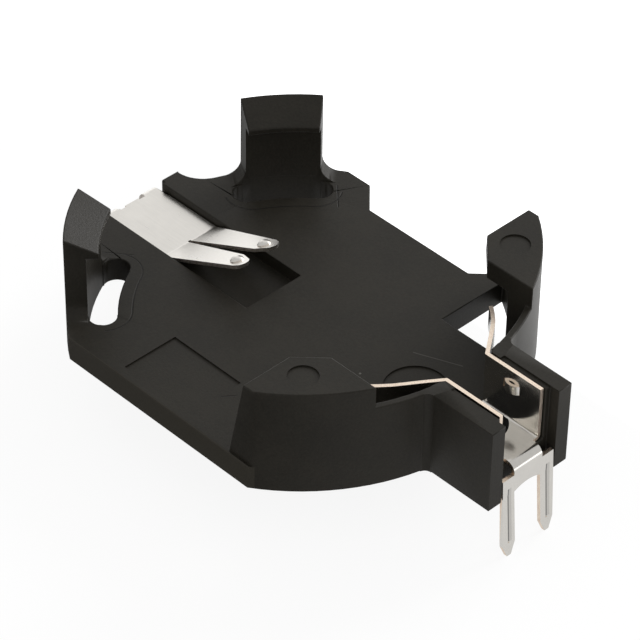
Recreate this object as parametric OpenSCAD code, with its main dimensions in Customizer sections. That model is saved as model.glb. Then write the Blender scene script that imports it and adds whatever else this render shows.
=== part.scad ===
// Through-hole holder for one coin cell: a moulded housing with two stamped contacts.
// Origin: on the board face, under the middle of the cell's seat. +X runs to the positive pins, +Z up.

/* [Cell] */
// Diameter of the coin cell
cell_d = 20; // [19:0.1:21]
// Thickness of the coin cell
cell_h = 3.2; // [2.8:0.1:3.6]
// Gap between the cell's rim and the walls round it
cell_gap = 0.15; // [0.1:0.05:0.3]
// Gap between the cell and the lips over it
lip_gap = 0.26; // [0.1:0.02:0.5]

/* [Housing] */
// Thickness of the floor plate
plate_t = 1.35; // [1.1:0.05:2]
// Distance of the front side from the long axis
front_y = 9.5; // [9.1:0.05:9.9]
// Distance of the rear side from the long axis
rear_y = 9.35; // [9.1:0.05:9.9]
// Depth of the relief in the rear side
relief_d = 1.45; // [0.5:0.05:2]
// Length of the relief along its bottom
relief_l = 6.8; // [4:0.1:7.5]
// Distance of the relief's middle from the seat axis
relief_x = 0.24; // [-0.5:0.02:0.6]
// Length from the seat axis to the negative end
tail_x = 12.05; // [11.9:0.05:12.6]
// Width of the negative end
tail_w = 6.06; // [5:0.05:7]
// Radius of the hollow corners beside the negative end
tail_r = 1.72; // [0.8:0.05:2]

/* [Hooks] */
// Thickness of a hook's stem
hook_t = 1.05; // [0.7:0.05:1.4]
// Angle from +X to a hook's near end
hook_a0 = 130.2; // [128:0.2:133]
// Angle that a hook spans
hook_span = 21.4; // [16:0.2:24]
// Overhang of a hook's lip over the cell
hook_lip = 0.62; // [0.3:0.02:0.9]
// Thickness of the lip at its tip
hook_tip_t = 0.3; // [0.2:0.02:0.5]
// Slope of a hook's top
hook_slope = 27.8; // [15:0.2:35]
// Radius at the foot of a hook's ends
hook_foot_r = 0.9; // [0.3:0.05:1.2]
// Width of the curved slot under a hook's lip
hook_slot_w = 1.42; // [1.1:0.02:1.7]

/* [Side walls] */
// Thickness of the side walls round the seat
wall_t = 1.35; // [1:0.05:1.6]
// Thickness of a side wall's lip
wall_lip_t = 1.08; // [0.6:0.02:1.4]
// Distance of the lip's slanted inner edge from the seat axis
wall_chord = 8.84; // [8.4:0.02:9.2]
// Place of a side wall's far face at its top
wall_far_x = 6.05; // [5.9:0.05:6.4]
// Place of a side wall's near face, from the long axis
wall_near_y = 5.1; // [4.9:0.05:5.5]
// Place of the through hole's edge across the long axis
core_x = 5.25; // [5.1:0.05:5.5]
// Place of the through hole's edge along the long axis
core_y = 4.47; // [4.3:0.01:4.7]

/* [Terminal end] */
// Height of the thin rim and the end blocks above the plate
rim_h = 3.35; // [3:0.05:3.6]
// Thickness of the thin rim
rim_t = 0.35; // [0.3:0.05:0.6]
// Width over both end blocks
blocks_w = 5.2; // [4.9:0.05:5.6]
// Length from the seat axis to the end of the blocks
nose_x = 15.17; // [15:0.01:16]
// Width of the slot for the positive pins
pin_slot_w = 3.52; // [3.44:0.02:3.7]
// Length of that slot
pin_slot_l = 0.57; // [0.5:0.01:0.8]
// Height of the pad under the positive contact
pad_h = 0.25; // [0.1:0.05:0.5]
// Radius in the corner between the rim and a block
block_r = 0.4; // [0.2:0.05:0.8]
// Bevel on the channel's rear corners
corner_bevel = 0.15; // [0.1:0.01:0.3]

/* [Recesses] */
// Radius of the round recess in the plate
mark_r = 1.58; // [1:0.02:2]
// Distance of the round recess from the seat axis
mark_x = 7.9; // [7.4:0.05:8]
// Depth of the shallow recesses
mark_d = 0.08; // [0.04:0.01:0.15]
// Radius of the round marks on the side walls
dot_r = 0.75; // [0.4:0.05:0.9]
// Distance of the round marks from the seat axis
dot_d = 10.17; // [10:0.01:10.4]
// Length of the plain recessed panel
panel_l = 4.6; // [3:0.1:6]
// Width of the plain recessed panel
panel_w = 3.2; // [2:0.1:3.4]
// Width of the pocket for the negative contact
pocket_w = 3.24; // [3.2:0.02:3.5]
// Width of the slot under the fingers
finger_slot_w = 3.62; // [3.4:0.02:4]
// Place of the slot's end, from the seat axis
finger_slot_x = 1.79; // [1:0.05:2.4]
// Depth of the slot under the fingers
finger_slot_d = 0.72; // [0.65:0.01:0.9]

/* [Contacts] */
// Thickness of the contact sheet
sheet_t = 0.2; // [0.15:0.01:0.25]
// Outer radius of the large bends
bend_r = 0.5; // [0.4:0.02:0.55]
// Distance between the two pins of a contact
pin_pitch = 2.54; // [2.5:0.02:2.56]
// Width of a pin
pin_w = 0.82; // [0.6:0.02:0.86]
// Length of the pins below the board face
pin_l = 3.4; // [2.5:0.1:4.5]
// Length of a pin's taper
pin_taper = 0.66; // [0.3:0.02:1]
// Gap between a contact and the plastic beside it
fit_gap = 0.06; // [0.02:0.01:0.1]
// Height of the positive contact's sides above the plate
side_h = 3.29; // [2.8:0.01:3.4]
// Height of a spring arm
arm_h = 1.3; // [0.8:0.05:1.6]
// Length of a spring arm
arm_l = 3.75; // [2.5:0.05:4]
// Angle that a spring arm turns away from the contact's side
arm_turn = 54; // [45:1:60]
// Curve radius of a spring arm
arm_r = 9.85; // [8:0.05:14]
// Depth of the pocket floor below the plate's top
pocket_d = 0.6; // [0.45:0.01:0.64]
// Width of the negative contact's plate
neg_w = 2.98; // [2.9:0.02:3.1]
// Place of the fingers' bend, from the seat axis
finger_x = 7.9; // [7.4:0.05:8.2]
// Length of a finger
finger_l = 5.7; // [4.5:0.05:6]
// Angle that a finger rises
finger_a = 23.5; // [16:0.5:26]
// Gap between the fingers at their root
finger_gap = 0.16; // [0.1:0.02:0.4]
// Radius of a finger's contact dimple
dimple_r = 0.34; // [0.2:0.02:0.4]

/* [Hidden] */

$fn = 96;
cut = 1;                                   // how far a cutting shape runs past the solid
blend = 0.006;                             // how far a hollow blend crosses the faces it joins
seat_r = cell_d / 2 + cell_gap;            // inner faces of the hooks and the side walls
lip_z = plate_t + cell_h + lip_gap;        // undersides of all lips
hook_out = seat_r + hook_t;
wall_out = seat_r + wall_t;
wall_z = lip_z + wall_lip_t;
wall_foot_x = core_x - 0.05;               // the far face leans from its foot to wall_far_x
rim_in = wall_out - rim_t;
rim_z = plate_t + rim_h;
block_y = blocks_w / 2;
pin_y = pin_pitch / 2;
tab_out = pin_y + pin_w / 2;               // outer edges of the pins and tabs
plastic_black = [0.07, 0.07, 0.07];
plated = [0.80, 0.80, 0.79];

// positive contact
flange_x = nose_x - 0.02;                  // outer face of the pins' flange
channel_in = 1.5;                          // inner faces of the end blocks
pos_side = channel_in - fit_gap;           // outer faces of the contact's sides
pos_x0 = rim_in - 0.1;                     // rear edge of the contact's sides
pos_x1 = flange_x - bend_r - 0.15;         // front edge of the contact's sides
base_z = plate_t + pad_h;                  // underside of the contact's base
side_z = plate_t + side_h;
corner_r = 0.32;                           // outer radius of the side bends
neck_w = 1.86;                             // width of the base where it turns down

// negative contact
plate_z = plate_t - pocket_d;              // underside of the contact's plate
end_x = tail_x + 0.53;                     // outer face of the tabs
end_half = tab_out + 0.27;                 // half width of the recess in the end face
end_d = 0.2;                               // depth of that recess
relief_w = 0.36;                           // notch beside each tab

// ---------- small helpers ----------

// A flat shape given in X and Z, thickened along Y about the long axis
module across(w) rotate([90, 0, 0]) linear_extrude(w, center = true) children();

// A flat shape given in Y and Z, drawn out along +X
module along(x, l) translate([x, 0, 0]) rotate([90, 0, 90]) linear_extrude(l) children();

// Both halves of something that is the same on either side of the long axis
module both_sides() {
    children();
    mirror([0, 1, 0]) children();
}

// Flat ring between two radii, from angle a0 to a1
module ring(r0, r1, a0, a1) {
    far = 4 * r1;
    mid = (a0 + a1) / 2;
    intersection() {
        difference() {
            circle(r1);
            circle(r0);
        }
        polygon([[0, 0], far * [cos(a0), sin(a0)], far * [cos(mid), sin(mid)], far * [cos(a1), sin(a1)]]);
    }
}

// Hollow corner of radius r, between a straight side at height y and a circle of radius big about the origin
module hollow_corner(big, y, r, dir) {
    cy = y + r;
    cx = dir * sqrt(pow(big + r, 2) - cy * cy);
    touch = big / (big + r) * [cx, cy];
    difference() {
        polygon([[cx, y], touch, [touch[0] - dir, y - 0.5], [cx, y - 0.5]]);
        translate([cx, cy]) circle(r);
    }
}

// ---------- housing ----------

module plate_outline() {
    difference() {
        union() {
            intersection() {
                union() {
                    intersection() {
                        circle(hook_out);
                        translate([-2 * tail_x, -tail_x]) square([2 * tail_x, 2 * tail_x]);
                    }
                    intersection() {
                        circle(wall_out);
                        translate([0, -tail_x]) square([tail_x, 2 * tail_x]);
                    }
                }
                translate([-tail_x, -front_y]) square([2 * nose_x, front_y + rear_y]);
            }
            translate([-tail_x, -tail_w / 2]) square([tail_x, tail_w]);
            translate([0, -block_y]) square([nose_x, blocks_w]);
            both_sides() {
                hollow_corner(hook_out, tail_w / 2, tail_r, -1);
                hollow_corner(wall_out, block_y, block_r, 1);
            }
        }
        rear_relief();
        // the end face steps in for the negative contact, and the nose opens for the positive pins
        translate([-tail_x - cut, -end_half]) square([end_d + cut, 2 * end_half]);
        translate([nose_x - pin_slot_l, -pin_slot_w / 2]) square([pin_slot_l + cut, pin_slot_w]);
        both_sides() core_opening();
        both_sides() hook_slot();
    }
}

// Relief in the rear side with slanted ends
module rear_relief() {
    half = relief_l / 2;
    y = rear_y - relief_d;
    translate([relief_x, 0]) polygon([
        [-half, y], [half, y],
        [half + relief_d + cut, rear_y + cut], [-half - relief_d - cut, rear_y + cut]
    ]);
}

// Hole through the plate under a side wall's lip
module core_opening() intersection() {
    circle(seat_r);
    translate([core_x, core_y]) square(seat_r);
}

// Curved slot with round ends through the plate under a hook's lip
module hook_slot() {
    mid = seat_r - hook_slot_w / 2;
    ring(seat_r - hook_slot_w, seat_r, hook_a0, hook_a0 + hook_span + 1);
    for (a = [hook_a0, hook_a0 + hook_span + 1]) rotate(a) translate([mid, 0]) circle(hook_slot_w / 2 - 0.02);
}

// One retaining hook: an upright stem with a sloped lip, and rounded feet at both ends
module hook() {
    tip_r = seat_r - hook_lip;
    top = lip_z + hook_tip_t + (hook_out - tip_r) * tan(hook_slope);
    rotate(hook_a0) rotate_extrude(angle = hook_span, $fn = 180) polygon([
        [seat_r, plate_t - 0.6], [hook_out, plate_t - 0.6], [hook_out, top],
        [tip_r, lip_z + hook_tip_t], [tip_r, lip_z], [seat_r, lip_z]
    ]);
    for (e = [[hook_a0, -1], [hook_a0 + hook_span, 1]]) intersection() {
        translate([0, 0, plate_t - 0.5]) linear_extrude(hook_foot_r + 0.5)
            ring(seat_r, hook_out, hook_a0 - 12, hook_a0 + hook_span + 12);
        rotate(e[0]) along(0, hook_out + cut) difference() {
            translate([e[1] > 0 ? -0.3 : -hook_foot_r, plate_t - 0.5]) square([hook_foot_r + 0.3, hook_foot_r + 0.5]);
            translate([e[1] * (hook_foot_r - blend), plate_t + hook_foot_r - blend]) circle(hook_foot_r, $fn = 48);
        }
    }
}

// One side wall: a curved stem outside the seat and a broad lip with a slanted inner edge
module side_wall() {
    difference() {
        union() {
            linear_extrude(wall_z) intersection() {
                ring(seat_r, wall_out, 10, 80);
                translate([wall_foot_x, wall_near_y]) square(wall_out);
                wall_limits();
            }
            translate([0, 0, lip_z]) linear_extrude(wall_lip_t) intersection() {
                circle(wall_out);
                translate([wall_foot_x, wall_near_y]) square(wall_out);
                rotate(45) translate([wall_chord, -wall_out]) square(2 * wall_out);
                wall_limits();
            }
        }
        across(4 * wall_out) polygon([
            [wall_foot_x - 4, plate_t], [wall_foot_x, plate_t],
            [wall_far_x, wall_z], [wall_far_x + 0.02, wall_z + cut], [wall_foot_x - 4, wall_z + cut]
        ]);
        rotate(43) translate([dot_d, 0, wall_z - mark_d]) cylinder(r = dot_r, h = cut);
    }
}

module wall_limits() translate([0, -front_y]) square([wall_out, front_y + rear_y]);

// Thin rim from the side walls to the end blocks, and the blocks
module rim_and_blocks() difference() {
    union() {
        linear_extrude(rim_z) difference() {
            union() {
                intersection() {
                    circle(wall_out);
                    translate([0, -wall_near_y - 0.1]) square([wall_out, 2 * wall_near_y + 0.2]);
                }
                translate([0, -block_y]) square([nose_x, blocks_w]);
                both_sides() hollow_corner(wall_out, block_y, block_r, 1);
            }
            circle(rim_in);
            translate([0, -channel_in]) square([nose_x + cut, 2 * channel_in]);
            // the channel's rear corners are bevelled for the arms
            both_sides() translate([rim_in * cos(asin(channel_in / rim_in)), channel_in]) rotate(45)
                square(1.41 * corner_bevel, center = true);
            translate([nose_x - pin_slot_l, -pin_slot_w / 2]) square([pin_slot_l + cut, pin_slot_w]);
        }
        // pad that carries the positive contact
        translate([rim_in - 0.2, -channel_in, plate_t - 0.1])
            cube([nose_x - pin_slot_l - rim_in + 0.2, 2 * channel_in, pad_h + 0.1]);
    }
    // low step along the top of each block, beside the contact
    both_sides() translate([rim_in + 0.58, 0, rim_z - 0.1])
        cube([nose_x - pin_slot_l - rim_in - 0.58, pin_slot_w / 2, cut]);
}

// Recesses that don't pass through the plate
module plate_recesses() {
    translate([-tail_x - cut, -pocket_w / 2, plate_z])
        cube([tail_x - finger_x + cut + 0.2, pocket_w, cut]);
    translate([-tail_x - cut, -tab_out - fit_gap, plate_z])
        cube([cut + 0.85, 2 * (tab_out + fit_gap), cut]);
    translate([-finger_x - 0.18, -finger_slot_w / 2, plate_t - finger_slot_d])
        cube([finger_x + 0.18 - finger_slot_x, finger_slot_w, cut]);
    translate([mark_x, 0, plate_t - mark_d]) cylinder(r = mark_r, h = cut);
    translate([-panel_l / 2 - 0.25, -front_y + 0.55, plate_t - mark_d]) cube([panel_l, panel_w, cut]);
}

module housing() color(plastic_black) {
    difference() {
        linear_extrude(plate_t) plate_outline();
        plate_recesses();
    }
    both_sides() hook();
    side_wall();
    mirror([0, 1, 0]) side_wall();
    rim_and_blocks();
}

// ---------- contacts ----------

// Outline of a pin in Y and Z, from the height top down to its tip
module pin_outline(top) {
    half = pin_w / 2;
    polygon([
        [-half, top], [half, top], [half, -pin_l + pin_taper],
        [0.13, -pin_l], [-0.13, -pin_l], [-half, -pin_l + pin_taper]
    ]);
}

// Shallow V groove pressed along the outer face of a pin
module pin_groove(x) translate([x, 0, -pin_l + pin_taper + 0.08]) rotate(45)
    translate([-0.05, -0.05, 0]) cube([0.1, 0.1, pin_l - pin_taper + 0.1]);

// Cross section of the channel in Y and Z, with rounded corners
module channel_section() {
    flat = pos_side - corner_r;
    translate([-flat, base_z]) square([2 * flat, sheet_t]);
    for (s = [-1, 1]) translate([s * flat, base_z + corner_r])
        ring(corner_r - sheet_t, corner_r, s > 0 ? 270 : 180, s > 0 ? 360 : 270);
    for (s = [-1, 1]) translate([s > 0 ? pos_side - sheet_t : -pos_side, base_z + corner_r])
        square([sheet_t, side_z - base_z - corner_r]);
}

// Side view of the base where it turns down into the pins
module turn_down() {
    translate([flange_x - bend_r, base_z + sheet_t - bend_r]) ring(bend_r - sheet_t, bend_r, 0, 90);
    translate([pos_x1 - 0.3, base_z]) square([flange_x - bend_r - pos_x1 + 0.3, sheet_t]);
    translate([flange_x - sheet_t, -pin_l]) square([sheet_t, pin_l + base_z + sheet_t - bend_r]);
}

// Front view of the neck, shoulders and pins
module front_outline() {
    shoulder = plate_t - 0.15;
    arch = 0.2;                            // height of the arch between the pins
    inner = pin_y - pin_w / 2;
    arch_r = (inner * inner + arch * arch) / (2 * arch);
    translate([-neck_w / 2, shoulder - 0.1]) square([neck_w, 3]);
    difference() {
        translate([-tab_out, 0.1]) square([2 * tab_out, shoulder - 0.1]);
        intersection() {
            translate([0, 0.35 - arch_r]) circle(arch_r);
            translate([-inner, -1]) square([2 * inner, 2]);
        }
    }
    for (s = [-1, 1]) translate([s * pin_y, 0]) pin_outline(0.3);
}

// One spring arm, cut from the upper part of the side sheet
module spring_arm() {
    y = pos_side - sheet_t / 2;
    heading = 180 - arm_turn;
    c = [pos_x0, y] + arm_r * [cos(heading + 90), sin(heading + 90)];
    sweep = arm_l / arm_r * 180 / PI;
    translate([0, 0, side_z - arm_h]) linear_extrude(arm_h) {
        translate(c) ring(arm_r - sheet_t / 2, arm_r + sheet_t / 2, heading - 90, heading - 90 + sweep);
        translate([pos_x0, y]) circle(sheet_t / 2, $fn = 24);
    }
}

// Small bridge pressed inwards out of a side sheet
module side_bridge(x, z) {
    l = 1.1;
    h = 0.5;
    out = 0.42;
    r = (l * l / 4 + out * out) / (2 * out);
    translate([x, pos_side, z]) linear_extrude(h) intersection() {
        translate([0, r - out]) difference() {
            circle(r);
            circle(r - 0.16);
        }
        translate([-l / 2, -out]) square([l, out - 0.05]);
    }
}

module positive_contact() color(plated) {
    bridge_x = pos_x0 + 1.7;
    bridge_z = plate_t + 2.15;
    difference() {
        along(pos_x0, pos_x1 - pos_x0) channel_section();
        both_sides() translate([bridge_x - 0.5, pos_side - 1.5 * sheet_t, bridge_z])
            cube([1, 2 * sheet_t, 0.5]);
        // round relief beside the bend
        both_sides() translate([bridge_x - 0.7, pos_side - corner_r, base_z - cut]) cylinder(r = 0.42, h = cut + sheet_t + 0.02);
    }
    both_sides() side_bridge(bridge_x, bridge_z);
    both_sides() spring_arm();
    difference() {
        intersection() {
            across(2 * tab_out + 1) turn_down();
            along(0, 2 * nose_x) front_outline();
        }
        for (s = [-1, 1]) translate([0, s * pin_y, 0]) pin_groove(flange_x + 0.02);
    }
}

// Side view of the negative contact: plate, rising fingers
module finger_profile() {
    translate([-tail_x, plate_z]) square([tail_x - finger_x, sheet_t]);
    // the fingers turn up about a small radius
    r = 0.4;
    translate([-finger_x, plate_z + sheet_t + r]) ring(r, r + sheet_t, 270, 270 + finger_a);
    translate([-finger_x, plate_z + sheet_t + r]) rotate(finger_a) translate([0, -r - sheet_t])
        square([finger_l - r * finger_a * PI / 180, sheet_t]);
}

// Plan of the plate and the fingers
module finger_plan() {
    half = neg_w / 2;
    run = finger_l * cos(finger_a);
    translate([-tail_x, -half]) square([tail_x - finger_x + 0.01, neg_w]);
    for (s = [-1, 1]) polygon([
        [-finger_x, s * finger_gap / 2], [-finger_x + 0.83 * run, s * 0.33], [-finger_x + run - 0.3, s * 0.58],
        [-finger_x + run - 0.3, s * 1.38], [-finger_x + run - 0.45, s * 1.44], [-finger_x, s * half]
    ]);
    for (s = [-1, 1]) translate([-finger_x + run - 0.42, s * 0.98]) circle(0.42, $fn = 48);
}

module negative_contact() color(plated) {
    a = finger_a;
    top = plate_z + sheet_t;
    turn_x = end_x - bend_r;               // where the tabs start to turn down
    intersection() {
        across(2 * neg_w) finger_profile();
        linear_extrude(plate_t + 5) finger_plan();
    }
    // contact dimples near the fingertips
    for (s = [-1, 1]) intersection() {
        translate([-finger_x, s * 0.9, top]) rotate([0, -a, 0]) translate([finger_l - 0.85, 0, -0.28])
            sphere(r = 0.45, $fn = 48);
        translate([-finger_x, s * 0.9, top]) rotate([0, -a, 0]) translate([finger_l - 0.85, 0, -0.15])
            cylinder(r = dimple_r, h = 1, $fn = 48);
    }
    // end of the plate, with a notch beside each tab
    difference() {
        translate([-tail_x - 0.1, -tab_out, plate_z]) cube([0.85, 2 * tab_out, sheet_t]);
        both_sides() translate([-tail_x - cut, tab_out - pin_w - relief_w - 0.06, plate_z - cut])
            cube([cut + 0.2, relief_w, 3 * cut]);
    }
    // each tab turns down over the end and becomes a pin
    both_sides() difference() {
        intersection() {
            across(4 * tab_out) mirror([1, 0]) {
                translate([turn_x, top - bend_r]) ring(bend_r - sheet_t, bend_r, 0, 90);
                translate([tail_x - 0.3, plate_z]) square([turn_x - tail_x + 0.3, sheet_t]);
                translate([end_x - sheet_t, -pin_l]) square([sheet_t, pin_l + top - bend_r]);
            }
            along(-2 * tail_x, 2 * tail_x) translate([pin_y, 0]) pin_outline(plate_t);
        }
        translate([0, pin_y, 0]) pin_groove(-end_x - 0.02);
    }
}

housing();
positive_contact();
negative_contact();
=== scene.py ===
"""Coin cell holder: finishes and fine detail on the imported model, and a plain studio."""

import logging
import math
from dataclasses import dataclass, field
from enum import Enum
from typing import Sequence, Union

import bmesh
import bpy
from mathutils import Matrix, Vector
from mathutils.bvhtree import BVHTree


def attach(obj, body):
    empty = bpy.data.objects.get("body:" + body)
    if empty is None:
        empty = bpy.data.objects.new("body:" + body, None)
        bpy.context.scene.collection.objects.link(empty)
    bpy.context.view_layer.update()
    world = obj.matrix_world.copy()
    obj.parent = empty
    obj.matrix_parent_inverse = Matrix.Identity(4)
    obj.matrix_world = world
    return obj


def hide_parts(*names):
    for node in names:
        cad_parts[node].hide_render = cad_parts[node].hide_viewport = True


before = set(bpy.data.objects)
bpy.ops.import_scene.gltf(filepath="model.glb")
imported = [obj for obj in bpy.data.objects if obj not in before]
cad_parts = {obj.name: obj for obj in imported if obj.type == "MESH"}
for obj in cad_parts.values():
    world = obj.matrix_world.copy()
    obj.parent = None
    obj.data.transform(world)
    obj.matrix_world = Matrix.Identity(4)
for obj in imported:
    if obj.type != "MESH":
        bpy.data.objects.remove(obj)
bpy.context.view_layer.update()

logging.basicConfig(level=logging.INFO, format="%(name)s: %(message)s")
log = logging.getLogger("holder")

MM = 0.001
BODY = "root"
PLATE_TOP = 1.35
DOUBLES = 2e-7      # metres between vertices that are one
SLIVER = 0.0004     # area under which a facet says nothing about the form, in square mm
Number = Union[int, float]
Point = tuple[float, float]
Place = tuple[float, float, float]
Colour = tuple[float, float, float]
Stroke = tuple[Point, Point]


# ---------------------------------------------------------------- shader maths


class Value:
    """One output socket of a material's graph, with arithmetic.

    Args:
        graph: The graph that the socket belongs to.
        socket: The socket itself.
    """

    def __init__(self, graph: "Graph", socket: bpy.types.NodeSocket) -> None:
        self.graph = graph
        self.socket = socket

    def _math(
        self, operation: str, first: "Value | Number", second: "Value | Number" = 0.0
    ) -> "Value":
        """Adds one Math node.

        Args:
            operation: The node's operation.
            first: The first operand.
            second: The second operand.

        Returns:
            The node's result.
        """
        return self.graph.node("ShaderNodeMath", {"operation": operation}, {0: first, 1: second})

    def __add__(self, other: "Value | Number") -> "Value":
        """Returns self + other."""
        return self._math("ADD", self, other)

    def __sub__(self, other: "Value | Number") -> "Value":
        """Returns self - other."""
        return self._math("SUBTRACT", self, other)

    def __rsub__(self, other: Number) -> "Value":
        """Returns other - self."""
        return self._math("SUBTRACT", other, self)

    def __mul__(self, other: "Value | Number") -> "Value":
        """Returns self * other."""
        return self._math("MULTIPLY", self, other)

    def __gt__(self, other: "Value | Number") -> "Value":
        """Returns 1 where self is above other."""
        return self._math("GREATER_THAN", self, other)

    def __lt__(self, other: "Value | Number") -> "Value":
        """Returns 1 where self is below other."""
        return self._math("LESS_THAN", self, other)

    def largest(self, other: "Value | Number") -> "Value":
        """Returns the larger of self and other."""
        return self._math("MAXIMUM", self, other)

    def smallest(self, other: "Value | Number") -> "Value":
        """Returns the smaller of self and other."""
        return self._math("MINIMUM", self, other)

    def size(self) -> "Value":
        """Returns the absolute value."""
        return self._math("ABSOLUTE", self)

    def root(self) -> "Value":
        """Returns the square root."""
        return self._math("SQRT", self)

    def clipped(self) -> "Value":
        """Returns self held between 0 and 1."""
        return self.graph.node("ShaderNodeClamp", {}, {0: self})

    def ramp(self, low: float, high: float) -> "Value":
        """Runs smoothly from 0 at low to 1 at high.

        Args:
            low: The value that gives 0.
            high: The value that gives 1.

        Returns:
            The ramp.
        """
        return self.graph.node(
            "ShaderNodeMapRange",
            {"interpolation_type": "SMOOTHSTEP", "clamp": True},
            {0: self, 1: low, 2: high, 3: 0.0, 4: 1.0},
        )


class Graph:
    """The node tree of one material, with its Principled shader.

    Args:
        name: The material's name.
    """

    def __init__(self, name: str) -> None:
        self.material = bpy.data.materials.new(name)
        self.material.use_nodes = True
        self.tree = self.material.node_tree
        self.shader = self.tree.nodes["Principled BSDF"]
        self._place: "Value | None" = None

    def node(
        self,
        kind: str,
        settings: dict[str, object] | None = None,
        inputs: dict[object, object] | None = None,
        output: "int | str" = 0,
    ) -> Value:
        """Adds a node.

        Args:
            kind: The node's type.
            settings: Its properties, which are set first.
            inputs: Values or links of its input sockets, by index or name.
            output: The output socket to return.

        Returns:
            The chosen output.
        """
        new = self.tree.nodes.new(kind)
        for key, value in (settings or {}).items():
            setattr(new, key, value)
        for key, value in (inputs or {}).items():
            if isinstance(value, Value):
                self.tree.links.new(value.socket, new.inputs[key])
            else:
                new.inputs[key].default_value = value
        return Value(self, new.outputs[output])

    def place(self) -> Value:
        """Returns the position on the piece, in millimetres."""
        if self._place is None:
            spot = self.node("ShaderNodeTexCoord", output="Object")
            self._place = self.node(
                "ShaderNodeVectorMath", {"operation": "SCALE"}, {0: spot, "Scale": 1.0 / MM}
            )
        return self._place

    def axes(self) -> tuple[Value, Value, Value]:
        """Returns the three coordinates, in millimetres."""
        split = self.node("ShaderNodeSeparateXYZ", {}, {0: self.place()})
        outputs = split.socket.node.outputs
        return split, Value(self, outputs[1]), Value(self, outputs[2])

    def noise(
        self,
        scale: float,
        detail: float = 2.0,
        roughness: float = 0.5,
        stretch: Sequence[float] = (1.0, 1.0, 1.0),
    ) -> Value:
        """Adds a noise texture.

        Args:
            scale: Its scale, per millimetre.
            detail: Its number of octaves.
            roughness: How much the finer octaves weigh.
            stretch: Scale of the pattern along each axis.

        Returns:
            The noise, from 0 to 1.
        """
        spot = self.node("ShaderNodeMapping", {}, {"Vector": self.place(), "Scale": tuple(stretch)})
        return self.node(
            "ShaderNodeTexNoise",
            {"noise_dimensions": "3D"},
            {"Vector": spot, "Scale": scale, "Detail": detail, "Roughness": roughness},
        )

    def mix(
        self,
        factor: "Value | float",
        low: "Value | Sequence[float]",
        high: "Value | Sequence[float]",
    ) -> Value:
        """Mixes two colours.

        Args:
            factor: The share of the second.
            low: The first colour.
            high: The second colour.

        Returns:
            The mixed colour.
        """
        colours = [c if isinstance(c, Value) else (*c, 1.0) for c in (low, high)]
        return self.node(
            "ShaderNodeMix",
            {"data_type": "RGBA", "blend_type": "MIX"},
            {"Factor": factor, 6: colours[0], 7: colours[1]},
            output=2,
        )

    def bump(
        self, height: Value, strength: float, distance: float, normal: Value | None = None
    ) -> Value:
        """Adds a Bump node.

        Args:
            height: The height pattern, from 0 to 1.
            strength: The strength, from 0 to 1.
            distance: The height of a full step, in millimetres.
            normal: The normal to start from.

        Returns:
            The bumped normal.
        """
        inputs: dict[object, object] = {
            "Height": height,
            "Strength": strength,
            "Distance": distance * MM,
        }
        if normal is not None:
            inputs["Normal"] = normal
        return self.node("ShaderNodeBump", {}, inputs)

    def feed(self, socket: str, value: "Value | Number | Sequence[float]") -> None:
        """Sets or links an input of the Principled shader.

        Args:
            socket: The input's name.
            value: A value or a link.
        """
        target = self.shader.inputs[socket]
        if isinstance(value, Value):
            self.tree.links.new(value.socket, target)
        elif isinstance(value, (int, float)):
            target.default_value = value
        else:
            target.default_value = (*value, 1.0)


# -------------------------------------------------------------------- finishes


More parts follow.
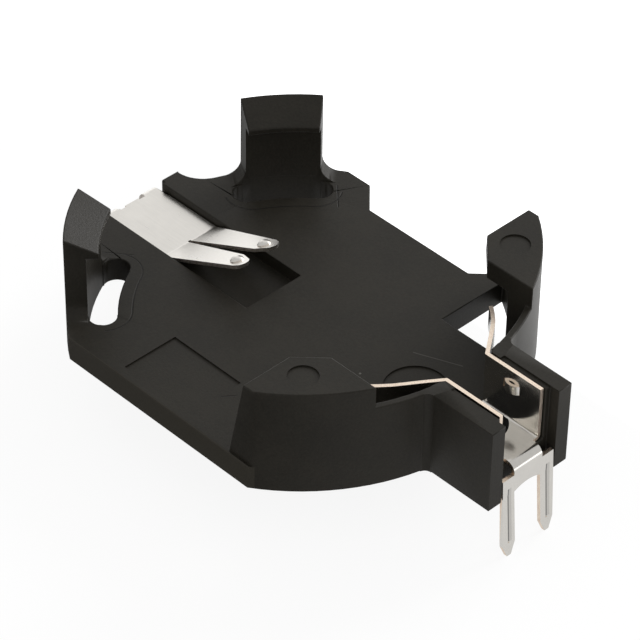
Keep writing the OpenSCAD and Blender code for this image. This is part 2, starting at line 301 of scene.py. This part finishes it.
@dataclass(frozen=True)
class MouldedPlastic:
    """Near-black glass-filled plastic with a fine spark-eroded grain."""

    colour: Colour = (0.0215, 0.0190, 0.0142)
    roughness: float = 0.50
    gloss: float = 0.20
    grain: float = 7.0
    skin: float = 0.03              # height from the plate's top within which its marks show
    mark_cover: float = 0.75
    mark_share: float = 0.25
    insert_middle: float = 9.44
    insert_half: float = 1.42
    insert_angles: Point = (131.7, 150.5)
    line: float = 0.035
    hairline: float = 0.03
    strokes: tuple[Stroke, ...] = (
        ((-9.72, -4.02), (-8.51, -3.06)),
        ((2.13, -7.09), (2.57, -6.51)),
        ((-5.72, 8.12), (-4.40, 6.90)),
    )
    scratch: Stroke = ((6.02, 1.71), (8.35, 2.71))
    scratch_cover: float = 0.2
    sheen_side_y: float = -9.3            # the plate's front side lies beyond this; its lighter base colour there is painted sheen
    painted_side_cover: float = 0.8
    sheen_share: float = 1.9
    dust: Colour = (0.20, 0.19, 0.17)
    dust_scale: float = 0.42
    dust_size: Point = (0.018, 0.034)
    dust_cover: float = 0.5
    hooks_x: float = -6.0           # the hooks lie beyond this
    hooks_z: float = PLATE_TOP + 0.3

    def build(self) -> bpy.types.Material:
        """Returns the material."""
        g = Graph("moulded_plastic")
        x, y, z = g.axes()
        cloud = g.noise(0.35, 3.0, 0.6)
        speck = g.noise(self.grain, 3.0, 0.7)
        blotch = (cloud * 0.5 + speck * 0.5).ramp(0.32, 0.68)
        tint = g.mix(blotch, self._scaled(0.80), self._scaled(1.20))
        top = self._band(z, PLATE_TOP, self.skin)
        radius = (x * x + y * y).root()
        marks = (self._insert_lines(g, x, y, radius) * top).clipped()
        tint = g.mix(marks * self.mark_cover, tint, self._scaled(self.mark_share))
        # painted sheen: the plate's front side gets a lighter base colour
        tint = g.mix(self._painted_side_sheen(y, z) * self.painted_side_cover, tint, self._scaled(self.sheen_share))
        tint = g.mix(self._dust(g, x, y, z), tint, self.dust)
        g.feed("Base Color", tint)
        brushed = self._brushed(g, x, z)
        g.feed("Roughness", cloud * 0.12 + (self.roughness - 0.06))
        g.feed("Specular IOR Level", self.gloss)
        relief = g.bump(speck, 0.45, 0.014)
        relief = g.bump(brushed, 0.6, 0.02, relief)
        g.feed("Normal", g.bump(1.0 - marks, 0.6, 0.03, relief))
        return g.material

    def _scaled(self, share: float) -> tuple[float, ...]:
        """Returns the colour times a share."""
        return tuple(share * c for c in self.colour)

    @staticmethod
    def _band(value: Value, middle: float, half: float) -> Value:
        """Returns 1 where a value lies within half of a middle, and falls off softly."""
        return 1.0 - (value - middle).size().ramp(0.6 * half, 1.4 * half)

    def _insert_lines(self, g: Graph, x: Value, y: Value, radius: Value) -> Value:
        """Draws the witness lines of the mould's inserts on the plate: two loops and hairlines.

        Args:
            g: The material's graph.
            x: The place along the long axis.
            y: The place across it.
            radius: The distance from the seat axis.

        Returns:
            1 on a line, 0 beside it.
        """
        start, end = (math.radians(a) for a in self.insert_angles)
        middle = self.insert_middle
        angle = g.node("ShaderNodeMath", {"operation": "ARCTAN2"}, {0: y.size(), 1: x})
        held = angle.largest(start).smallest(end)
        across = x - g.node("ShaderNodeMath", {"operation": "COSINE"}, {0: held}) * middle
        along = y.size() - g.node("ShaderNodeMath", {"operation": "SINE"}, {0: held}) * middle
        loop = self._band((across * across + along * along).root(), self.insert_half, self.line)
        loop = loop * (radius < middle)
        for first, last in self.strokes:
            loop = loop + self._stroke(x, y, first, last)
        return loop

    def _stroke(self, x: Value, y: Value, start: Point, end: Point) -> Value:
        """Draws one straight hairline.

        Args:
            x: The place along the long axis.
            y: The place across it.
            start: Its first end.
            end: Its last end.

        Returns:
            1 on the line, 0 beside it.
        """
        way = Vector(end) - Vector(start)
        length = way.length
        way.normalize()
        along = (x - start[0]) * way.x + (y - start[1]) * way.y
        aside = (x - start[0]) * way.y - (y - start[1]) * way.x
        return self._band(aside, 0.0, self.hairline) * (along > 0.0) * (along < length)

    def _painted_side_sheen(self, y: Value, z: Value) -> Value:
        """Returns 1 on the front side of the plate, where a lighter base colour paints sheen."""
        return (y < self.sheen_side_y) * (z < PLATE_TOP)

    def _dust(self, g: Graph, x: Value, y: Value, z: Value) -> Value:
        """Scatters a few pale specks and one light scratch.

        Args:
            g: The material's graph.
            x: The place along the long axis.
            y: The place across it.
            z: The height.

        Returns:
            The cover, from 0 to 1.
        """
        cells = g.node("ShaderNodeTexVoronoi", {}, {"Vector": g.place(), "Scale": self.dust_scale})
        specks = 1.0 - cells.ramp(*self.dust_size)
        scratch = self._stroke(x, y, *self.scratch) * self._band(z, PLATE_TOP, self.skin)
        return (specks * self.dust_cover + scratch * self.scratch_cover).clipped()

    def _brushed(self, g: Graph, x: Value, z: Value) -> Value:
        """Runs fine upright streaks down the hooks.

        Args:
            g: The material's graph.
            x: The place along the long axis.
            z: The height.

        Returns:
            The streaks, from 0 to 1.
        """
        streaks = g.noise(9.0, 2.0, 0.6, (1.0, 1.0, 0.06))
        return streaks * (x < self.hooks_x) * (z > self.hooks_z)


@dataclass(frozen=True)
class PlatedSheet:
    """Bright tin plating on rolled sheet, with faint rolling lines."""

    colour: Colour = (0.80, 0.775, 0.73)
    roughness: float = 0.16
    pin: float = 1.27               # half the pin pitch
    pins_x: float = 12.4            # the pins lie beyond this, at either end
    # painted shade for the pins' grooves: the wall facing away darkest, the flank beside it a
    # little
    groove: Point = (-2.60, 0.55)
    groove_wall: Point = (0.030, 0.050)
    groove_side: float = 0.20
    groove_shade_tint: Colour = (0.10, 0.10, 0.10)
    groove_shade_cover: float = 0.8
    painted_side_cover: float = 0.22

    def build(self) -> bpy.types.Material:
        """Returns the material."""
        g = Graph("plated_sheet")
        lines = g.noise(2.2, 3.0, 0.6, (0.35, 6.0, 6.0))
        cloud = g.noise(0.9, 2.0, 0.5)
        shade = (cloud * 0.5 + lines * 0.5).ramp(0.3, 0.7)
        dull = tuple(0.92 * c for c in self.colour)
        tint = g.mix(shade, dull, self.colour)
        # painted shade in the pins' grooves
        g.feed("Base Color", g.mix(self._painted_groove_shade(g), tint, self.groove_shade_tint))
        g.feed("Metallic", 1.0)
        g.feed("Roughness", shade * 0.06 + (self.roughness - 0.03))
        g.feed("Normal", g.bump(lines, 0.2, 0.002))
        return g.material

    def _painted_groove_shade(self, g: Graph) -> Value:
        """Paints shade into the groove of each pin: a dark line down its middle, and its one side a
        little.

        Args:
            g: The material's graph.

        Returns:
            The shade, from 0 to 1.
        """
        x, y, z = g.axes()
        low, high = self.groove
        aside = y.size() - self.pin
        aside = aside * (y > 0.0) - aside * (y < 0.0)
        wall_shade = 1.0 - aside.size().ramp(*self.groove_wall)
        flank_shade = (aside > 0.0) * (aside < self.groove_side)
        groove_shade = (wall_shade * self.groove_shade_cover).largest(flank_shade * self.painted_side_cover)
        return groove_shade * (z > low) * (z < high) * (x.size() > self.pins_x)


@dataclass(frozen=True)
class ShearedEdge:
    """Bare copper alloy where the sheet was sheared."""

    colour: Colour = (0.86, 0.70, 0.58)
    roughness: float = 0.38

    def build(self) -> bpy.types.Material:
        """Returns the material."""
        g = Graph("sheared_edge")
        streak = g.noise(5.0, 2.0, 0.6, (3.0, 3.0, 0.6))
        pale = tuple(min(1.0, 1.25 * c) for c in self.colour)
        g.feed("Base Color", g.mix(streak.ramp(0.35, 0.65), self.colour, pale))
        g.feed("Metallic", 1.0)
        g.feed("Roughness", streak * 0.15 + (self.roughness - 0.07))
        g.feed("Normal", g.bump(streak, 0.3, 0.006))
        return g.material


@dataclass(frozen=True)
class StudioFloor:
    """White floor that keeps a faint shadow; to reflections it glows with painted light and shade,
    dim at the front and bright at the rear.
    """

    shadow: float = 0.16
    white: float = 1.06
    # to reflections the floor glows by place: dim at the front as a painted shadow of the object,
    # bright at the rear as painted light
    gloss_low: float = 0.06
    gloss_high: float = 0.74
    gloss_span: Point = (-15.0, -1.0)
    gloss_slant: float = 0.35
    rear_glow: float = 1.1
    rear_span: Point = (7.0, 15.0)
    paint: Colour = (0.86, 0.86, 0.86)

    def build(self) -> bpy.types.Material:
        """Returns the material."""
        g = Graph("studio_floor")
        g.feed("Base Color", self.paint)
        g.feed("Roughness", 0.9)
        g.feed("Specular IOR Level", 0.1)
        path = g.node("ShaderNodeLightPath")
        outs = path.socket.node.outputs
        camera, gloss, through = (
            Value(g, outs[f"Is {kind} Ray"]) for kind in ("Camera", "Glossy", "Transmission")
        )
        seen = camera.largest(gloss).largest(through)
        x, y, _ = g.axes()
        near, far = self.gloss_span
        span = self.gloss_high - self.gloss_low
        # painted reflection: glow dim towards the front as painted shadow, brighter at the rear as
        # painted light
        reach = (x * self.gloss_slant + y).ramp(near, far) * span + self.gloss_low
        reach = reach + y.ramp(*self.rear_span) * self.rear_glow
        level = camera.largest(reach) * self.white
        white = (1.0, 1.0, 1.0, 1.0)
        glow = g.node("ShaderNodeEmission", {}, {"Color": white, "Strength": level})
        diffuse = Value(g, g.shader.outputs[0])
        share = seen * (1.0 - self.shadow)
        blend = g.node("ShaderNodeMixShader", {}, {0: share, 1: diffuse, 2: glow})
        output = next(n for n in g.tree.nodes if n.type == "OUTPUT_MATERIAL")
        g.tree.links.new(blend.socket, output.inputs["Surface"])
        return g.material


# ---------------------------------------------------------------------- meshes


def merge_doubles(shape: bmesh.types.BMesh) -> None:
    """Merges the vertices that are one, and clears what that leaves without area."""
    bmesh.ops.remove_doubles(shape, verts=shape.verts, dist=DOUBLES)
    bmesh.ops.dissolve_degenerate(shape, edges=shape.edges, dist=DOUBLES)


def copy_of_node(name: str, piece: str) -> bpy.types.Object:
    """Copies a CAD node's mesh into a new piece, with its doubles merged.

    Args:
        name: The node's name.
        piece: The new piece's name.

    Returns:
        The new object, linked to the scene.
    """
    mesh = bpy.data.meshes.new(piece)
    shape = bmesh.new()
    shape.from_mesh(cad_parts[name].data)
    merge_doubles(shape)
    shape.to_mesh(mesh)
    shape.free()
    stored = mesh.attributes.get("custom_normal")
    if stored is not None:
        mesh.attributes.remove(stored)
    thing = bpy.data.objects.new(piece, mesh)
    bpy.context.scene.collection.objects.link(thing)
    return thing


def shade(
    thing: bpy.types.Object, angle: float = 30.0, bend: float = 2.5, level: float = 0.9995
) -> None:
    """Shades the round faces of a mesh smooth and leaves the plane ones flat.

    Args:
        thing: The mesh object.
        angle: The angle over which an edge stays sharp, in degrees.
        bend: The angle over which two faces belong to a round form, in degrees.
        level: The upward part of the normal from which a face is flat.
    """
    shape = bmesh.new()
    shape.from_mesh(thing.data)
    for face in shape.faces:
        face.smooth = False
    for line in shape.edges:
        faces = line.link_faces
        if len(faces) != 2 or not bend < math.degrees(line.calc_face_angle()) < angle:
            continue
        if min(f.calc_area() for f in faces) < SLIVER * MM * MM:
            continue
        for face in faces:
            face.smooth = abs(face.normal.z) < level
    shape.to_mesh(thing.data)
    shape.free()
    thing.data.set_sharp_from_angle(angle=math.radians(angle))


def round_edges(thing: bpy.types.Object, width: float, segments: int = 3) -> None:
    """Adds a Bevel modifier for the edges that carry a weight.

    Args:
        thing: The mesh object.
        width: The width of the rounding at full weight, in millimetres.
        segments: Its number of segments.
    """
    bevel = thing.modifiers.new("rounded_edges", "BEVEL")
    bevel.width = width * MM
    bevel.segments = segments
    bevel.limit_method = "WEIGHT"
    bevel.use_clamp_overlap = False


# ---------------------------------------------------------------------- pieces


class SheetFace(Enum):
    """Which side of the sheet a face belongs to."""

    PLATED = 0
    SHEARED = 1


@dataclass(frozen=True)
class Housing:
    """The black moulding, with the small roundings of a real mould."""

    edge: float = 0.06
    corner: float = 0.22
    edge_angle: float = 38.0
    shortest: float = 0.10
    shallow: float = 0.05
    pocket: Place = (1.60, 1.80, 1.81)      # from, to and new place of the pocket's sides
    pocket_end: float = -7.6
    pocket_floor: float = PLATE_TOP - 0.75
    hook_x: float = -6.0
    hook_z: float = 5.0
    hook_drop: float = 0.5
    finish: MouldedPlastic = field(default_factory=MouldedPlastic)

    def build(self) -> list[bpy.types.Object]:
        """Makes the dressed moulding in place of its plain solid.

        Returns:
            The pieces made.
        """
        thing = copy_of_node("housing", "moulding")
        shape = bmesh.new()
        shape.from_mesh(thing.data)
        self._open_pocket(shape)
        self._weigh_edges(shape)
        shape.to_mesh(thing.data)
        shape.free()
        thing.data.materials.append(self.finish.build())
        round_edges(thing, self.corner)
        shade(thing, self.edge_angle)
        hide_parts("housing")
        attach(thing, BODY)
        return [thing]

    def _open_pocket(self, shape: bmesh.types.BMesh) -> None:
        """Brings the sides of the contact's pocket in line with the slot's.

        Args:
            shape: The moulding.
        """
        low, high, side = self.pocket
        for vert in shape.verts:
            x, y, z = (c / MM for c in vert.co)
            if x < self.pocket_end and z > self.pocket_floor and low < abs(y) < high:
                vert.co.y = math.copysign(side * MM, y)
        merge_doubles(shape)

    def _weigh_edges(self, shape: bmesh.types.BMesh) -> None:
        """Marks the edges to round, the hooks' sloped edges with the full weight.

        Args:
            shape: The moulding.
        """
        weight = shape.edges.layers.float.new("bevel_weight_edge")
        for line in shape.edges:
            if len(line.link_faces) != 2 or line.calc_length() < self.shortest * MM:
                continue
            if math.degrees(line.calc_face_angle()) < self.edge_angle or self._shallow(line):
                continue
            line[weight] = 1.0 if self._hook_corner(line) else self.edge / self.corner

    def _shallow(self, line: bmesh.types.BMEdge) -> bool:
        """Returns whether an edge borders the low wall of a shallow recess."""
        reach = min(face.calc_area() for face in line.link_faces) / line.calc_length()
        return reach < self.shallow * MM

    def _hook_corner(self, line: bmesh.types.BMEdge) -> bool:
        """Returns whether an edge is a hook's sloped top edge."""
        ends = [v.co / MM for v in line.verts]
        drop = abs(ends[0].z - ends[1].z)
        return drop > self.hook_drop and all(e.x < self.hook_x and e.z > self.hook_z for e in ends)


@dataclass(frozen=True)
class StampedContact:
    """One contact of stamped and bent sheet."""

    node: str
    sheet: float = 0.2
    widen: float = 0.0
    plate_edge: float = 1.40
    plate_low: float = 0.7
    finger_root: float = -7.9
    finger_tip: float = -3.1
    tab: Point = (-11.3, 1.6)               # the end tabs lie beyond these
    arm_turn: float = 0.0
    arm_drop: float = 0.26
    arm_root: Point = (11.05, 1.34)
    arm_gap: float = 0.12
    arm_low: float = 3.3
    arm_length: float = 3.75
    arm_spring: float = 1.6                 # how soon along an arm its turn is complete
    pin_lean: float = 4.8
    skin: float = 1e-6                      # metres under a face where its ray starts
    thick: float = 2.2                      # sheets over which a depth is not the thickness
    plated: PlatedSheet = field(default_factory=PlatedSheet)
    sheared: ShearedEdge = field(default_factory=ShearedEdge)

    def build(self) -> list[bpy.types.Object]:
        """Makes the dressed contact in place of its plain solid.

        Returns:
            The pieces made.
        """
        thing = copy_of_node(self.node, self.node + "_sheet")
        if self.widen:
            self._widen(thing)
        if self.arm_turn:
            self._turn_arms(thing)
            self._splay_pins(thing)
        thing.data.materials.append(self.plated.build())
        thing.data.materials.append(self.sheared.build())
        self._sort_faces(thing)
        shade(thing)
        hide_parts(self.node)
        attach(thing, BODY)
        return [thing]

    def _splay_pins(self, thing: bpy.types.Object) -> None:
        """Leans the pins outwards below the board face.

        Args:
            thing: The contact.
        """
        for vert in thing.data.vertices:
            if vert.co.z < 0:
                vert.co.x -= vert.co.z * math.tan(math.radians(self.pin_lean))

    def _turn_arms(self, thing: bpy.types.Object) -> None:
        """Springs the two arms a little outwards and down, as they sit after forming.

        Args:
            thing: The contact.
        """
        root_x, root_y = self.arm_root
        for vert in thing.data.vertices:
            x, y, z = (c / MM for c in vert.co)
            if x > root_x - self.arm_gap or z < self.arm_low:
                continue
            side = math.copysign(1.0, y)
            reach = Vector((x - root_x, y - side * root_y))
            share = reach.length / self.arm_length
            turn = -side * math.radians(self.arm_turn) * min(1.0, self.arm_spring * share)
            reach.rotate(Matrix.Rotation(turn, 2))
            drop = self.arm_drop * share * share
            vert.co = Vector((root_x + reach.x, side * root_y + reach.y, z - drop)) * MM

    def _widen(self, thing: bpy.types.Object) -> None:
        """Moves the long edges of the plate outwards, and tapers the fingers from there.

        Args:
            thing: The contact.
        """
        root, tip = self.finger_root, self.finger_tip
        tab_x, tab_y = self.tab
        for vert in thing.data.vertices:
            x, y, z = (c / MM for c in vert.co)
            if z < self.plate_low or abs(y) < self.plate_edge or x > tip:
                continue
            if x < tab_x and abs(y) > tab_y:
                continue
            share = min(1.0, max(0.0, (tip - x) / (tip - root)))
            vert.co.y += math.copysign(self.widen * share * MM, y)

    def _sort_faces(self, thing: bpy.types.Object) -> None:
        """Gives the sheared edges their own material, by the thickness behind each face.

        Args:
            thing: The contact.
        """
        shape = bmesh.new()
        shape.from_mesh(thing.data)
        tree = BVHTree.FromBMesh(shape)
        for face in shape.faces:
            start = face.calc_center_median() - face.normal * self.skin
            hit = tree.ray_cast(start, -face.normal)
            depth = (hit[3] or 1.0) / MM
            side = SheetFace.PLATED if depth < self.thick * self.sheet else SheetFace.SHEARED
            face.material_index = side.value
        shape.to_mesh(thing.data)
        shape.free()


@dataclass(frozen=True)
class PaintedOpeningShade:
    """A thin near-black disc, painted shade that stands for the dark inside of the round opening in
    the positive contact's base.
    """

    middle: Point = (12.0, 0.0)
    radius: float = 1.37
    rear: float = 11.05
    side: float = 1.235
    top: float = PLATE_TOP + 0.456
    height: float = 0.10
    segments: int = 64
    # painted shade: near-black, darker than the moulding
    finish: MouldedPlastic = field(
        default_factory=lambda: MouldedPlastic(colour=(0.006, 0.0056, 0.005), gloss=0.1)
    )

    def build(self) -> list[bpy.types.Object]:
        """Makes the disc, cut off at the base's rear and at its two bends.

        Returns:
            The pieces made.
        """
        shape = bmesh.new()
        bmesh.ops.create_cone(
            shape,
            cap_ends=True,
            segments=self.segments,
            radius1=self.radius,
            radius2=self.radius,
            depth=self.height,
        )
        spot = Vector((*self.middle, self.top - self.height / 2))
        bmesh.ops.translate(shape, verts=shape.verts, vec=spot)
        cuts = (
            ((self.rear, 0, 0), (-1, 0, 0)),
            ((0, self.side, 0), (0, 1, 0)),
            ((0, -self.side, 0), (0, -1, 0)),
        )
        for place, way in cuts:
            parts = [*shape.verts, *shape.edges, *shape.faces]
            cut = bmesh.ops.bisect_plane(
                shape, geom=parts, plane_co=place, plane_no=way, clear_outer=True
            )
            rim = [e for e in cut["geom_cut"] if isinstance(e, bmesh.types.BMEdge)]
            bmesh.ops.edgeloop_fill(shape, edges=rim)
        bmesh.ops.scale(shape, verts=shape.verts, vec=(MM, MM, MM))
        bmesh.ops.recalc_face_normals(shape, faces=shape.faces)
        mesh = bpy.data.meshes.new("painted_opening_shade")
        shape.to_mesh(mesh)
        shape.free()
        thing = bpy.data.objects.new("painted_opening_shade", mesh)
        bpy.context.scene.collection.objects.link(thing)
        mesh.materials.append(self.finish.build())
        shade(thing)
        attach(thing, BODY)
        return [thing]


# ---------------------------------------------------------------------- studio


@dataclass(frozen=True)
class Studio:
    """Floor, lamps, world and camera."""

    floor_z: float = -3.4                   # the pins' tips
    floor_half: float = 1.5                 # metres
    sky: float = 0.62
    lamps: tuple[tuple[str, Place, float, float], ...] = (
        ("back", (-0.33, 0.33, 0.40), 0.40, 0.14),
        ("right", (0.02, 0.60, 0.26), 0.36, 2.4),
        ("rear_left", (-0.50, 0.32, 0.15), 0.30, 0.12),
    )
    azimuth: float = 45.38
    elevation: float = 39.95
    roll: float = 0.93
    spot: Place = (90.10, -87.50, 105.87)
    lens: float = 190.97
    sensor: float = 36.0
    clip: Point = (0.005, 10.0)

    def build(self) -> None:
        """Builds the whole studio."""
        self._floor()
        self._world()
        self._lamps()
        self._camera()

    def _floor(self) -> None:
        """Makes the floor."""
        shape = bmesh.new()
        bmesh.ops.create_grid(shape, x_segments=1, y_segments=1, size=self.floor_half)
        bmesh.ops.translate(shape, verts=shape.verts, vec=(0, 0, self.floor_z * MM))
        mesh = bpy.data.meshes.new("studio_floor")
        shape.to_mesh(mesh)
        shape.free()
        floor = bpy.data.objects.new("studio_floor", mesh)
        bpy.context.scene.collection.objects.link(floor)
        mesh.materials.append(StudioFloor().build())

    def _world(self) -> None:
        """Sets a plain soft white surround."""
        world = bpy.data.worlds.new("studio")
        bpy.context.scene.world = world
        world.use_nodes = True
        tree = world.node_tree
        tree.nodes["Background"].inputs["Color"].default_value = (1, 1, 1, 1)
        tree.nodes["Background"].inputs["Strength"].default_value = self.sky

    def _lamps(self) -> None:
        """Hangs the soft lamps."""
        for name, spot, size, power in self.lamps:
            self._lamp(name, Vector(spot), size, power)

    @staticmethod
    def _lamp(name: str, spot: Vector, size: float, power: float) -> None:
        """Hangs one square lamp that faces the middle of the seat.

        Args:
            name: The lamp's name.
            spot: Its place in metres.
            size: Its side in metres.
            power: Its power in watts.
        """
        data = bpy.data.lights.new(name, "AREA")
        data.shape = "SQUARE"
        data.size = size
        data.energy = power
        lamp = bpy.data.objects.new(name, data)
        bpy.context.scene.collection.objects.link(lamp)
        lamp.location = spot
        lamp.rotation_euler = (-spot).to_track_quat("-Z", "Y").to_euler()

    def _camera(self) -> None:
        """Sets up the camera."""
        az, el, roll = (math.radians(a) for a in (self.azimuth, self.elevation, self.roll))
        level = Vector((-math.sin(az), math.cos(az), 0.0))
        ahead = level * math.cos(el) - Vector((0.0, 0.0, math.sin(el)))
        right = Vector((math.cos(az), math.sin(az), 0.0))
        up = right.cross(ahead)
        x = right * math.cos(roll) + up * math.sin(roll)
        y = up * math.cos(roll) - right * math.sin(roll)
        data = bpy.data.cameras.new("camera")
        data.sensor_width = self.sensor
        data.lens = self.lens
        data.clip_start, data.clip_end = self.clip
        camera = bpy.data.objects.new("camera", data)
        bpy.context.scene.collection.objects.link(camera)
        turn = Matrix((x, y, -ahead)).transposed().to_4x4()
        camera.matrix_world = Matrix.Translation(Vector(self.spot) * MM) @ turn
        bpy.context.scene.camera = camera


# ------------------------------------------------------------------------ main


def main() -> None:
    """Builds every piece and the studio, and reports them."""
    bpy.context.scene.view_settings.view_transform = "Standard"
    dull = PlatedSheet(roughness=0.30)
    pale = ShearedEdge(colour=(0.78, 0.72, 0.66))
    makers = (
        Housing(),
        StampedContact("positive_contact", arm_turn=6.0),
        StampedContact("negative_contact", widen=0.25, plated=dull, sheared=pale),
        PaintedOpeningShade(),
    )
    for maker in makers:
        for piece in maker.build():
            log.info("%s: %d faces", piece.name, len(piece.data.polygons))
    Studio().build()


if __name__ == "__main__":
    main()
